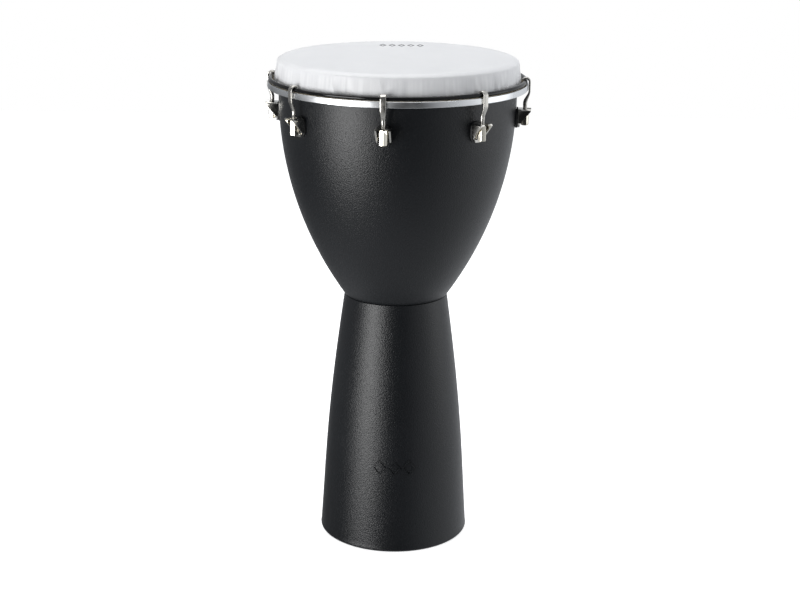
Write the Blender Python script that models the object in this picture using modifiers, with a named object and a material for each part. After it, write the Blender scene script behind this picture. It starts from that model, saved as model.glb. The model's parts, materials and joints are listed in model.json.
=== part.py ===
"""A rod-tuned djembe with a goblet shell in two pieces, a synthetic head and eight tuning points.

The drum stands on Z = 0 with its axis on world Z and its playing face up. Every turned piece shares that axis.
The eight tuning points are copies around it. Each has an empty on its rod's axis, whose +Y points away from the
drum's axis, and the pieces of a tuning point are modelled in that empty's frame.
"""

import math

import bmesh
import bpy
from mathutils import Matrix, Vector

# Driving dimensions, in metres.
HEIGHT = 0.610
GAP = 0.0003
WALL = 0.0065
SEGMENTS = 48

# Bowl: its outer wall is an arc of an ellipse from the neck up to the widest height, then straight.
BOWL_RADIUS = 0.1444
BOWL_WIDEST_Z = 0.5634
BOWL_ELLIPSE_ACROSS = 0.5418
BOWL_ELLIPSE_UP = 0.4740
BEARING_EDGE_Z = HEIGHT - 0.0013

# Neck: a spigot under the bowl drops into a straight socket in the top of the foot.
SEAM_Z = 0.3150
SPIGOT_RADIUS = 0.0577
SPIGOT_BORE = 0.0520
SPIGOT_LENGTH = 0.030

# Foot: its outer wall is a Bezier curve in radius and height, from the floor up to the seam.
FOOT_CURVE = ((0.0942, 0.0), (0.0872, 0.1012), (0.0871, 0.1554), (0.0641, SEAM_Z))
FOOT_CORNER = 0.0035

# Drumhead: flat face, softly bent edge, then a collar that flares down into the flesh hoop.
FILM = 0.0008
FACE_RADIUS = 0.1367
CREASE_RADIUS = 0.1459
CREASE_Z = HEIGHT - 0.0037
COLLAR_FLARE = 0.143
COLLAR_END_Z = 0.5760

# Flesh hoop: an open-topped aluminium channel that grips the film's edge in resin.
HOOP_RADIUS = 0.1578
HOOP_INNER_RADIUS = 0.1466
HOOP_BOTTOM_Z = 0.5742
HOOP_TOP_Z = 0.5814
HOOP_WALL = 0.0012

# Counterhoop: a round steel ring that lies on the flesh hoop.
RING_RADIUS = 0.1541
RING_SECTION = 0.0025
RING_Z = HOOP_TOP_Z + GAP + RING_SECTION

# Tuning points.
POINTS = 8
FIRST_POINT_ANGLE = math.radians(-6)
ROD_OFFSET = 0.1545
ROD_RADIUS = 0.0025
ROD_END_Z = 0.5345

HOOK_THICKNESS = 0.0024
HOOK_WIDTH = 0.0068
HOOK_ARC_RADIUS = 0.0048
HOOK_ARC_Z = RING_Z + RING_SECTION + GAP + HOOK_THICKNESS / 2 - HOOK_ARC_RADIUS
HOOK_TIP_ANGLE = math.radians(150)
HOOK_BEND_TOP_Z = 0.5725
HOOK_BEND_BOTTOM_Z = 0.5615

PLATE_TOP_Z = 0.5513
BRACKET_SHEET = 0.0020
BRACKET_WIDTH = 0.0184
BRACKET_FOOT_WIDTH = 0.0176
BRACKET_BACK_Y = -0.0077
BRACKET_FRONT_Y = 0.0073
CHEEK_END_Z = 0.5335
TAB_WIDTH = 0.0120
TAB_CORNER = 0.0030
TAB_END_Z = 0.5286
SLOT_WIDTH = 0.0058

NUT_ACROSS_FLATS = 0.0088
NUT_FIRST_TURN = math.radians(8)
NUT_TURN_STEP = math.radians(25)
NUT_LENGTH = 0.0178
NUT_CHAMFER = 0.0009
NUT_BORE = ROD_RADIUS + GAP

PAD_WIDTH = 0.0178
PAD_TOP_Z = 0.5530
PAD_END_Z = 0.5276

SCREW_Z = 0.5332
SCREW_RADIUS = 0.0019
SCREW_HEAD_RADIUS = 0.0033
SCREW_HEAD_DEPTH = 0.0016
SCREW_HOLE = SCREW_RADIUS + GAP
BACKING_NUT_ACROSS_FLATS = 0.0080
BACKING_NUT_LENGTH = 0.0038
BACKING_NUT_SEAT = 0.1355
SCREW_END = 0.1305


def clear_scene():
    for old in list(bpy.data.objects):
        bpy.data.objects.remove(old)


def make_collection(name):
    collection = bpy.data.collections.new(name)
    bpy.context.scene.collection.children.link(collection)
    return collection


def make_material(name, colour, roughness, metallic):
    material = bpy.data.materials.new(name)
    material.use_nodes = True
    shader = material.node_tree.nodes["Principled BSDF"]
    shader.inputs["Base Color"].default_value = (*colour, 1.0)
    shader.inputs["Roughness"].default_value = roughness
    shader.inputs["Metallic"].default_value = metallic
    return material


def new_object(name, mesh, collection):
    made = bpy.data.objects.new(name, mesh)
    collection.objects.link(made)
    return made


def mesh_from(work, name):
    mesh = bpy.data.meshes.new(name)
    bmesh.ops.recalc_face_normals(work, faces=work.faces)
    work.to_mesh(mesh)
    work.free()
    return mesh


def turn(name, profile, collection, closed=True, segments=SEGMENTS):
    """Turns a profile of (radius, height) points about Z. It runs down the outer side and up the inner one."""
    work = bmesh.new()
    points = [work.verts.new((radius, 0, height)) for radius, height in profile]
    pairs = zip(points, points[1:] + points[:1] if closed else points[1:])
    for start, end in pairs:
        work.edges.new((start, end))
    mesh = bpy.data.meshes.new(name)
    work.to_mesh(mesh)
    work.free()
    turned = new_object(name, mesh, collection)
    turned.rotation_euler.z = FIRST_POINT_ANGLE
    screw = turned.modifiers.new("Turn", "SCREW")
    screw.axis = "Z"
    screw.angle = math.tau
    screw.steps = segments
    screw.render_steps = segments
    screw.use_merge_vertices = True
    screw.merge_threshold = 0.00001
    return turned


def cut(target, cutter):
    boolean = target.modifiers.new("Cut " + cutter.name, "BOOLEAN")
    boolean.operation = "DIFFERENCE"
    boolean.solver = "EXACT"
    boolean.object = cutter


def as_cutter(cutter):
    cutter.hide_render = True
    cutter.display_type = "WIRE"
    return cutter


def baked(prototype):
    """The prototype's finished mesh, for its eight copies to share. The prototype itself goes."""
    bpy.context.view_layer.update()
    finished = prototype.evaluated_get(bpy.context.evaluated_depsgraph_get())
    mesh = bpy.data.meshes.new_from_object(finished)
    mesh.transform(prototype.matrix_world)
    bpy.data.objects.remove(prototype)
    return mesh


def smooth(mesh, sharp_degrees=35):
    mesh.shade_smooth()
    mesh.set_sharp_from_angle(angle=math.radians(sharp_degrees))
    return mesh


def arc(centre, radius, start_degrees, end_degrees, steps):
    """Points on an arc in the plane of radius and height, from one angle to another, both ends included."""
    angles = [start_degrees + (end_degrees - start_degrees) * i / steps for i in range(steps + 1)]
    turns = [math.radians(angle) for angle in angles]
    return [(centre[0] + radius * math.cos(t), centre[1] + radius * math.sin(t)) for t in turns]


def bezier(points, t):
    weights = ((1 - t) ** 3, 3 * t * (1 - t) ** 2, 3 * t * t * (1 - t), t**3)
    return tuple(sum(w * p[i] for w, p in zip(weights, points)) for i in (0, 1))


def bowl_wall(inset, neck_radius=None, steps=10):
    """The bowl's wall from its widest height down, set in by inset, as (radius, height) points."""
    across = BOWL_ELLIPSE_ACROSS - inset
    up = BOWL_ELLIPSE_UP - inset
    centre = BOWL_RADIUS - BOWL_ELLIPSE_ACROSS
    if neck_radius is None:
        end = math.asin((BOWL_WIDEST_Z - SEAM_Z - GAP) / up)
    else:
        end = math.acos((neck_radius - centre) / across)
    angles = [end * i / steps for i in range(steps + 1)]
    return [(centre + across * math.cos(a), BOWL_WIDEST_Z - up * math.sin(a)) for a in angles]


def bowl_shell(parts):
    inner_radius = BOWL_RADIUS - WALL
    edge = arc((inner_radius, BEARING_EDGE_Z - WALL), WALL, 90, 0, 4)
    spigot_end = SEAM_Z + GAP - SPIGOT_LENGTH
    spigot = [
        (SPIGOT_RADIUS, SEAM_Z + GAP),
        (SPIGOT_RADIUS, spigot_end),
        (SPIGOT_BORE, spigot_end),
    ]
    inside = bowl_wall(WALL, SPIGOT_BORE, 8)[::-1]
    return turn("bowl_shell", edge + bowl_wall(0) + spigot + inside, parts)


def foot_shell(parts):
    socket_radius = SPIGOT_RADIUS + GAP
    socket_end = SEAM_Z - SPIGOT_LENGTH - 3 * GAP
    steps = 10
    wall = [bezier(FOOT_CURVE, 1 - i / steps) for i in range(steps)]
    corner = arc((FOOT_CURVE[0][0] - FOOT_CORNER, FOOT_CORNER), FOOT_CORNER, 0, -90, 3)
    lower_wall = [(radius - WALL, height) for radius, height in wall if height < socket_end]
    inside = [(FOOT_CURVE[0][0] - WALL, 0.0)] + lower_wall[::-1]
    socket = [
        (inside[-1][0], socket_end),
        (socket_radius, socket_end),
        (socket_radius, SEAM_Z),
    ]
    return turn("foot_shell", wall + corner + inside + socket, parts)


def film_line(inset):
    """The drumhead's edge and collar, from the flat face outwards and down, set in by inset."""
    bend = CREASE_RADIUS - FACE_RADIUS
    drop = HEIGHT - CREASE_Z
    edge = [(FACE_RADIUS + bend * t, HEIGHT - drop * t * t - inset) for t in (0, 0.4, 0.7)]
    collar_radius = CREASE_RADIUS + COLLAR_FLARE * (CREASE_Z - COLLAR_END_Z)
    softness = 0.0008
    crease = [
        (CREASE_RADIUS - softness - inset, CREASE_Z + 0.75 * softness - inset / 2),
        (CREASE_RADIUS + 0.25 * softness - inset, CREASE_Z - 1.25 * softness - inset / 2),
    ]
    return edge + crease + [(collar_radius - inset, COLLAR_END_Z)]


def drumhead_film(parts):
    profile = [(0, HEIGHT)] + film_line(0) + film_line(FILM)[::-1] + [(0, HEIGHT - FILM)]
    return turn("drumhead_film", profile, parts, closed=False)


def flesh_hoop(parts):
    floor_z = HOOP_BOTTOM_Z + HOOP_WALL
    bevel = 0.0004
    profile = [
        (HOOP_RADIUS - bevel, HOOP_TOP_Z),
        (HOOP_RADIUS, HOOP_TOP_Z - bevel),
        (HOOP_RADIUS, HOOP_BOTTOM_Z + bevel),
        (HOOP_RADIUS - bevel, HOOP_BOTTOM_Z),
        (HOOP_INNER_RADIUS, HOOP_BOTTOM_Z),
        (HOOP_INNER_RADIUS, HOOP_TOP_Z - HOOP_WALL),
        (HOOP_INNER_RADIUS + HOOP_WALL, HOOP_TOP_Z - HOOP_WALL),
        (HOOP_INNER_RADIUS + HOOP_WALL, floor_z),
        (HOOP_RADIUS - HOOP_WALL, floor_z),
        (HOOP_RADIUS - HOOP_WALL, HOOP_TOP_Z),
    ]
    return turn("flesh_hoop", profile, parts)


def hoop_resin(parts):
    """The resin bead that locks the film's edge inside the channel."""
    film_radius = CREASE_RADIUS + COLLAR_FLARE * (CREASE_Z - COLLAR_END_Z)
    inner = film_radius + 2 * GAP
    outer = HOOP_RADIUS - HOOP_WALL - GAP
    low = HOOP_BOTTOM_Z + HOOP_WALL + GAP
    high = HOOP_TOP_Z - 2 * GAP
    return turn("hoop_resin", [(outer, high), (outer, low), (inner, low), (inner, high)], parts)


def counterhoop(parts):
    sides = 10
    section = arc((RING_RADIUS, RING_Z), RING_SECTION, 90, 90 - 360 + 360 / sides, sides - 1)
    return turn("counterhoop", section, parts)


def strap_section(half_width, half_thickness, chamfer):
    """An eight-sided section, from a flat strap with small chamfers to a regular octagon."""
    wide, thick = half_width, half_thickness
    quarter = [(wide, thick - chamfer), (wide - chamfer, thick)]
    half = quarter + [(-x, y) for x, y in reversed(quarter)]
    return half + [(-x, -y) for x, y in half]


def ease(t):
    return t * t * (3 - 2 * t)


def hook_stations():
    """(y, z, direction, roundness) along the hook, from its tip over the ring and down to the rod's end.

    Direction is the path's heading in the YZ plane, and roundness goes from 0, flat strap, to 1, round rod.
    """
    stations = []
    arc_steps = 6
    for i in range(arc_steps + 1):
        turn_angle = HOOK_TIP_ANGLE * (1 - i / arc_steps)
        y = HOOK_ARC_RADIUS * math.cos(turn_angle)
        z = HOOK_ARC_Z + HOOK_ARC_RADIUS * math.sin(turn_angle)
        stations.append((y, z, turn_angle - math.pi / 2, 0.0))
    drop = HOOK_BEND_TOP_Z - HOOK_BEND_BOTTOM_Z
    bend_steps = 5
    for i in range(bend_steps + 1):
        t = i / bend_steps
        heading = math.atan2(-drop, -HOOK_ARC_RADIUS * 6 * t * (1 - t))
        stations.append((HOOK_ARC_RADIUS * (1 - ease(t)), HOOK_BEND_TOP_Z - drop * t, heading, ease(t)))
    stations.append((0.0, ROD_END_Z, -math.pi / 2, 1.0))
    return stations


def tuning_hook_mesh():
    flat_chamfer = 0.0005
    rod_flat = ROD_RADIUS * math.cos(math.pi / 8)
    rod_chamfer = rod_flat * (2 - math.sqrt(2))
    work = bmesh.new()
    rings = []
    for y, z, heading, roundness in hook_stations():
        width = HOOK_WIDTH / 2 + (rod_flat - HOOK_WIDTH / 2) * roundness
        thickness = HOOK_THICKNESS / 2 + (rod_flat - HOOK_THICKNESS / 2) * roundness
        chamfer = flat_chamfer + (rod_chamfer - flat_chamfer) * roundness
        outward = Vector((0, -math.sin(heading), math.cos(heading)))
        centre = Vector((0, y, z))
        section = strap_section(width, thickness, chamfer)
        rings.append([work.verts.new(centre + Vector((x, 0, 0)) + outward * t) for x, t in section])
    for ring, following in zip(rings, rings[1:]):
        for i in range(len(ring)):
            j = (i + 1) % len(ring)
            work.faces.new((ring[i], ring[j], following[j], following[i]))
    work.faces.new(rings[0][::-1])
    work.faces.new(rings[-1])
    return smooth(mesh_from(work, "tuning_hook"))


def rod_cylinder(name, radius, low, high, collection, sides=16):
    """A cylinder along Z, in a tuning point's frame."""
    work = bmesh.new()
    place = Matrix.Translation((0, 0, (low + high) / 2))
    bmesh.ops.create_cone(
        work, cap_ends=True, segments=sides, radius1=radius, radius2=radius, depth=high - low, matrix=place
    )
    return new_object(name, mesh_from(work, name), collection)


def radial_cylinder(name, radius, near, far, height, collection, sides=12):
    """A cylinder along Y, from one distance to another from the rod's axis."""
    lie_down = Matrix.Translation((0, (near + far) / 2, height)) @ Matrix.Rotation(math.pi / 2, 4, "X")
    work = bmesh.new()
    bmesh.ops.create_cone(
        work, cap_ends=True, segments=sides, radius1=radius, radius2=radius,
        depth=far - near, matrix=lie_down,
    )
    return new_object(name, mesh_from(work, name), collection)


def tuning_nut_mesh(cutters):
    corner_radius = NUT_ACROSS_FLATS / 2 / math.cos(math.pi / 6)
    top = PLATE_TOP_Z - BRACKET_SHEET - GAP
    nut = rod_cylinder("tuning_nut", corner_radius, top - NUT_LENGTH, top, cutters, sides=6)
    bevel = nut.modifiers.new("Chamfer", "BEVEL")
    bevel.width = NUT_CHAMFER
    bevel.segments = 1
    bevel.limit_method = "ANGLE"
    bevel.angle_limit = math.radians(70)
    bore = as_cutter(rod_cylinder("nut_bore", NUT_BORE, top - 2 * NUT_LENGTH, top + NUT_LENGTH, cutters))
    cut(nut, bore)
    return smooth(baked(nut))


def swept(name, outline, sweep, collection):
    """A flat outline of points, swept along a vector into a closed solid."""
    work = bmesh.new()
    face = work.faces.new([work.verts.new(point) for point in outline])
    grown = bmesh.ops.extrude_face_region(work, geom=[face])["geom"]
    moved = [item for item in grown if isinstance(item, bmesh.types.BMVert)]
    bmesh.ops.translate(work, verts=moved, vec=sweep)
    return new_object(name, mesh_from(work, name), collection)


def mirrored(half_outline):
    """The whole outline, from its +X half that runs top to bottom as (x, z) points."""
    return half_outline + [(-x, z) for x, z in reversed(half_outline)]


def bracket_mesh(cutters):
    """Bent sheet: a top plate that is slotted for the rod, two cheeks, and a back plate with a screw tab."""
    back, front, sheet = BRACKET_BACK_Y, BRACKET_FRONT_Y, BRACKET_SHEET
    half, foot_half, tab_half = BRACKET_WIDTH / 2, BRACKET_FOOT_WIDTH / 2, TAB_WIDTH / 2
    inner_back = back + sheet
    past = 0.002
    outer = [
        (half, PLATE_TOP_Z),
        (foot_half, CHEEK_END_Z),
        (tab_half, CHEEK_END_Z - TAB_CORNER),
        (tab_half - TAB_CORNER, TAB_END_Z),
    ]
    block = [(x, back, z) for x, z in mirrored(outer)]
    bracket = swept("lug_bracket", block, (0, front - back, 0), cutters)
    inner = [(half - sheet, PLATE_TOP_Z - sheet), (foot_half - sheet, TAB_END_Z - past)]
    hollow = [(x, inner_back, z) for x, z in mirrored(inner)]
    cut(bracket, as_cutter(swept("bracket_hollow", hollow, (0, front - inner_back + past, 0), cutters)))
    lip_z = PLATE_TOP_Z - sheet - 2 * GAP
    wedge = [
        (-BRACKET_WIDTH, front + past, lip_z),
        (-BRACKET_WIDTH, front, lip_z),
        (-BRACKET_WIDTH, inner_back, CHEEK_END_Z),
        (-BRACKET_WIDTH, inner_back, TAB_END_Z - past),
        (-BRACKET_WIDTH, front + past, TAB_END_Z - past),
    ]
    cut(bracket, as_cutter(swept("bracket_wedge", wedge, (2 * BRACKET_WIDTH, 0, 0), cutters)))
    slot_half = SLOT_WIDTH / 2
    slot = arc((0, 0), slot_half, 180, 360, 6) + [(slot_half, front + past), (-slot_half, front + past)]
    slot_low = [(x, y, PLATE_TOP_Z - sheet - past) for x, y in slot]
    cut(bracket, as_cutter(swept("rod_slot", slot_low, (0, 0, sheet + 2 * past), cutters)))
    hole = radial_cylinder("screw_hole", SCREW_HOLE, back - past, inner_back + past, SCREW_Z, cutters)
    cut(bracket, as_cutter(hole))
    sink_floor = inner_back - SCREW_HEAD_DEPTH - GAP
    sink = radial_cylinder("screw_sink", SCREW_HEAD_RADIUS + GAP, sink_floor, inner_back + past, SCREW_Z, cutters)
    cut(bracket, as_cutter(sink))
    return smooth(baked(bracket), 30)


def pad_mesh(cutters):
    """The pad behind the bracket: an oval plate whose back follows the bowl's wall."""
    half_width = PAD_WIDTH / 2
    front = BRACKET_BACK_Y - GAP
    back = BOWL_RADIUS - ROD_OFFSET - WALL
    top = arc((0, PAD_TOP_Z - half_width), half_width, 0, 180, 8)
    low = arc((0, PAD_END_Z + half_width), half_width, 180, 360, 8)
    outline = [(x, front, z) for x, z in top + low]
    pad = swept("lug_pad", outline, (0, back - front, 0), cutters)
    wall = [point for point in bowl_wall(-GAP, steps=24) if point[1] > PAD_END_Z - 2 * WALL]
    profile = [(0, HEIGHT), (BOWL_RADIUS + GAP, HEIGHT)] + wall + [(0, wall[-1][1])]
    bowl = as_cutter(turn("bowl_clearance", profile, cutters, closed=False, segments=2 * SEGMENTS))
    bowl.rotation_euler.z = math.pi / 2
    bowl.location.y = -ROD_OFFSET
    cut(pad, bowl)
    cut(pad, as_cutter(radial_cylinder("pad_hole", SCREW_HOLE, back - WALL, 0.0, SCREW_Z, cutters)))
    return smooth(baked(pad), 30)


def screw_mesh(cutters):
    """The countersunk screw that holds a bracket, with its head flush in the tab."""
    head_face = BRACKET_BACK_Y + BRACKET_SHEET
    end = SCREW_END - ROD_OFFSET
    length = head_face - end
    profile = [
        (0, length),
        (SCREW_HEAD_RADIUS, length),
        (SCREW_RADIUS, length - SCREW_HEAD_DEPTH),
        (SCREW_RADIUS, 0),
        (0, 0),
    ]
    screw = turn("lug_screw", profile, cutters, closed=False, segments=12)
    screw.rotation_euler = (-math.pi / 2, 0, 0)
    screw.location = (0, end, SCREW_Z)
    return smooth(baked(screw), 30)


def backing_nut_mesh(cutters):
    """The hexagon nut on the screw's end, inside the bowl."""
    corner_radius = BACKING_NUT_ACROSS_FLATS / 2 / math.cos(math.pi / 6)
    far = BACKING_NUT_SEAT - ROD_OFFSET
    near = far - BACKING_NUT_LENGTH
    nut = radial_cylinder("backing_nut", corner_radius, near, far, SCREW_Z, cutters, sides=6)
    cut(nut, as_cutter(radial_cylinder("backing_bore", SCREW_HOLE, near - 0.01, far + 0.01, SCREW_Z, cutters)))
    return smooth(baked(nut), 30)


def point_angle(index):
    return FIRST_POINT_ANGLE + index * math.tau / POINTS


def drill_bowl(bowl, cutters):
    """Eight screw holes through the bowl's wall, one behind each bracket."""
    near = BOWL_RADIUS - 5 * WALL
    far = BOWL_RADIUS + WALL
    work = bmesh.new()
    for index in range(POINTS):
        about_axis = Matrix.Rotation(point_angle(index) + math.pi, 4, "Z")
        outwards = Matrix.Translation((0, (near + far) / 2, SCREW_Z)) @ Matrix.Rotation(math.pi / 2, 4, "X")
        bmesh.ops.create_cone(
            work, cap_ends=True, segments=12, radius1=SCREW_HOLE, radius2=SCREW_HOLE,
            depth=far - near, matrix=about_axis @ outwards,
        )
    drills = new_object("screw_holes", mesh_from(work, "screw_holes"), cutters)
    cut(bowl, as_cutter(drills))


def add_tuning_points(parts, cutters, materials):
    meshes = {
        "tuning_hook": (tuning_hook_mesh(), "nickel"),
        "tuning_nut": (tuning_nut_mesh(cutters), "warm nickel"),
        "lug_bracket": (bracket_mesh(cutters), "nickel"),
        "lug_pad": (pad_mesh(cutters), "black rubber"),
        "lug_screw": (screw_mesh(cutters), "nickel"),
        "backing_nut": (backing_nut_mesh(cutters), "zinc"),
    }
    for mesh, finish in meshes.values():
        mesh.materials.clear()
        mesh.materials.append(materials[finish])
    for index in range(POINTS):
        angle = point_angle(index)
        place = new_object(f"tuning_point_{index + 1}", None, parts)
        place.location = (ROD_OFFSET * math.sin(angle), -ROD_OFFSET * math.cos(angle), 0)
        place.rotation_euler.z = angle + math.pi
        for name, (mesh, _) in meshes.items():
            piece = new_object(f"{name}_{index + 1}", mesh, parts)
            piece.parent = place
            if name == "tuning_nut":
                piece.rotation_euler.z = NUT_FIRST_TURN + index * NUT_TURN_STEP


def build():
    clear_scene()
    parts = make_collection("djembe")
    cutters = make_collection("djembe cutters")
    materials = {
        "black coat": make_material("black coat", (0.018, 0.019, 0.021), 0.45, 0.0),
        "white film": make_material("white film", (0.86, 0.87, 0.88), 0.4, 0.0),
        "aluminium": make_material("aluminium", (0.86, 0.87, 0.88), 0.22, 1.0),
        "resin": make_material("resin", (0.55, 0.50, 0.38), 0.5, 0.0),
        "black enamel": make_material("black enamel", (0.012, 0.012, 0.013), 0.25, 0.0),
        "nickel": make_material("nickel", (0.66, 0.64, 0.60), 0.25, 1.0),
        "warm nickel": make_material("warm nickel", (0.80, 0.76, 0.68), 0.25, 1.0),
        "black rubber": make_material("black rubber", (0.012, 0.012, 0.012), 0.7, 0.0),
        "zinc": make_material("zinc", (0.60, 0.60, 0.62), 0.4, 1.0),
    }
    turned = (
        (bowl_shell(parts), "black coat"),
        (foot_shell(parts), "black coat"),
        (drumhead_film(parts), "white film"),
        (flesh_hoop(parts), "aluminium"),
        (hoop_resin(parts), "resin"),
        (counterhoop(parts), "black enamel"),
    )
    for piece, finish in turned:
        piece.data.materials.append(materials[finish])
    drill_bowl(turned[0][0], cutters)
    add_tuning_points(parts, cutters, materials)


build()
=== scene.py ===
"""The finished looks of the rod-tuned djembe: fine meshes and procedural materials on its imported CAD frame.

Lengths are in metres, in the CAD's frame: the drum's axis is world Z, and it stands on Z = 0.
Each tuning point is modelled in its own frame, where the rod's axis is Z and +Y points away from the drum.
"""

import json
import math
import random

import bmesh
import bpy
import numpy as np
from mathutils import Matrix, Vector


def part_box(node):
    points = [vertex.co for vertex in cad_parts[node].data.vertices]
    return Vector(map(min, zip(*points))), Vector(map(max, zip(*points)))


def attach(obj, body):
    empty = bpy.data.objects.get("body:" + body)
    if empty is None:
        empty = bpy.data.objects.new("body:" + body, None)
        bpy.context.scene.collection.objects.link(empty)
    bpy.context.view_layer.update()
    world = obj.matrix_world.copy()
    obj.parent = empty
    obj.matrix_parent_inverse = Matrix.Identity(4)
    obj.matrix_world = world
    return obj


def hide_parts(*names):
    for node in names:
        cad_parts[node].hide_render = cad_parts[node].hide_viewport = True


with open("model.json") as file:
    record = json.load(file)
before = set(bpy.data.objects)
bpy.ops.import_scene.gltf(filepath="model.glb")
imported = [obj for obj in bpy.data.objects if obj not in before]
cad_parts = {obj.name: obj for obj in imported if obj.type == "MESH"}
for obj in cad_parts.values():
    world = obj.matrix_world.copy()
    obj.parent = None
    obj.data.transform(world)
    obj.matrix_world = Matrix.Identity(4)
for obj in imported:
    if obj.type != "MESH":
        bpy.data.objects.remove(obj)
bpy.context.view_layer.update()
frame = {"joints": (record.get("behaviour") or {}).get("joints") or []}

# Places read from the frame.
FOOT_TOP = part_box("foot_shell")[1].z
NECK_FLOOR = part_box("bowl_shell")[0].z
BOWL_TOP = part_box("bowl_shell")[1].z
FACE_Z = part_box("drumhead_film")[1].z
COLLAR_END_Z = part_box("drumhead_film")[0].z
HOOP_LOW, HOOP_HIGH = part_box("flesh_hoop")[0].z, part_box("flesh_hoop")[1].z
RING_LOW, RING_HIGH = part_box("counterhoop")[0].z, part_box("counterhoop")[1].z
NUT_LOW, NUT_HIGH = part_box("tuning_nut_1")[0].z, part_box("tuning_nut_1")[1].z
ROD_END_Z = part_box("tuning_hook_1")[0].z
PLATE_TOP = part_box("lug_bracket_1")[1].z
TAB_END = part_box("lug_bracket_1")[0].z
PAD_LOW, PAD_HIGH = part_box("lug_pad_1")[0].z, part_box("lug_pad_1")[1].z
ROD_AXES = [Vector(joint["pos_m"]) for joint in frame["joints"] if joint["type"] == "hinge"]
ROD_OFFSET = ROD_AXES[0].xy.length

# Clearance between neighbouring pieces, and the wall of both shells.
GAP = 0.0003
WALL = 0.0065
SHELL_CHAMFER = 0.0006

# Bowl: its outer wall is part of an ellipse that is centred beyond the drum's axis.
BOWL_RADIUS = 0.1444
BOWL_WIDEST_Z = 0.5634
BOWL_ELLIPSE_ACROSS = 0.5418
BOWL_ELLIPSE_UP = 0.4740
SPIGOT_RADIUS = 0.0577
SPIGOT_BORE = 0.0520

# Foot: the outer wall is a Bezier curve of (radius, height) points.
FOOT_CURVE = ((0.0942, 0.0), (0.0872, 0.1012), (0.0871, 0.1554), (0.0641, FOOT_TOP))
FOOT_CORNER = 0.0035

# Film: a flat face, a rounded crease and a collar that flares down into the hoop.
FILM = 0.0008
FACE_RADIUS = 0.1367
CREASE_RADIUS = 0.1459
CREASE_Z = FACE_Z - 0.0037
COLLAR_FLARE = 0.143
COLLAR_RADIUS = CREASE_RADIUS + COLLAR_FLARE * (CREASE_Z - COLLAR_END_Z)

# Hoops: an upright channel of sheet, and the round ring that lies on it.
HOOP_RADIUS = 0.1578
HOOP_INNER_RADIUS = 0.1466
HOOP_WALL = 0.0012
HOOP_TROUGH_RADIUS = HOOP_RADIUS - 1.4 * HOOP_WALL
RING_RADIUS = 0.1541

# Tuning points.
ROD_RADIUS = 0.0025
THREAD_PITCH = 0.0008
THREAD_DEPTH = 0.00028
THREAD_TOP = 0.5560
HOOK_HALF_THICKNESS = 0.0012
HOOK_HALF_WIDTH = 0.0034
HOOK_ARC_RADIUS = 0.0048
HOOK_ARC_Z = RING_HIGH + GAP + HOOK_HALF_THICKNESS - HOOK_ARC_RADIUS
HOOK_BEND_TOP = 0.5725
HOOK_BEND_END = 0.5580
SHEET = 0.0020
BRACKET_BACK = -0.0077
BRACKET_FRONT = 0.0073
CHEEK_END = 0.5335
SCREW_Z = 0.5332
SCREW_HOLE_RADIUS = 0.0022
SCREW_TIP_FROM_AXIS = 0.1305
BACKING_NUT_FROM_AXIS = 0.1355
NUT_ACROSS_FLATS = 0.0088
NUT_TURNS = [math.radians(turn) for turn in (8, 11, 58, 83, 108, 133, 158, 183)]

RING_SEGMENTS = 256


# ---- Mesh building ----


def object_from(name, vertices, faces, sharp_degrees=35):
    mesh = bpy.data.meshes.new(name)
    mesh.from_pydata([tuple(v) for v in vertices], [], faces)
    mesh.validate()
    return object_with(name, mesh, sharp_degrees)


def object_with(name, mesh, sharp_degrees=35):
    mesh.shade_smooth()
    mesh.set_sharp_from_angle(angle=math.radians(sharp_degrees))
    made = bpy.data.objects.new(name, mesh)
    bpy.context.scene.collection.objects.link(made)
    return made


def outward(mesh):
    work = bmesh.new()
    work.from_mesh(mesh)
    bmesh.ops.recalc_face_normals(work, faces=work.faces)
    work.to_mesh(mesh)
    work.free()


def arc(centre, radius, start_degrees, end_degrees, steps):
    sweep = end_degrees - start_degrees
    turns = [math.radians(start_degrees + sweep * i / steps) for i in range(steps + 1)]
    return [(centre[0] + radius * math.cos(t), centre[1] + radius * math.sin(t)) for t in turns]


def circle(radius, sides):
    turns = [i * math.tau / sides for i in range(sides)]
    return [(radius * math.cos(t), radius * math.sin(t)) for t in turns]


def filleted(corners, radius, steps=4):
    """A closed outline with every corner rounded. A corner may carry its own radius as a third number."""
    rounded = []
    count = len(corners)
    for i, corner in enumerate(corners):
        here = Vector(corner[:2])
        before = Vector(corners[i - 1][:2]) - here
        after = Vector(corners[(i + 1) % count][:2]) - here
        wanted = corner[2] if len(corner) > 2 else radius
        half_angle = before.angle(after) / 2
        cut = min(wanted / math.tan(half_angle), 0.49 * before.length, 0.49 * after.length)
        if wanted <= 0 or half_angle > math.radians(88):
            rounded.append(tuple(here))
            continue
        start, end = here + before.normalized() * cut, here + after.normalized() * cut
        for j in range(steps + 1):
            t = j / steps
            bend = start.lerp(here, t).lerp(here.lerp(end, t), t)
            rounded.append(tuple(bend))
    return rounded


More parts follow.
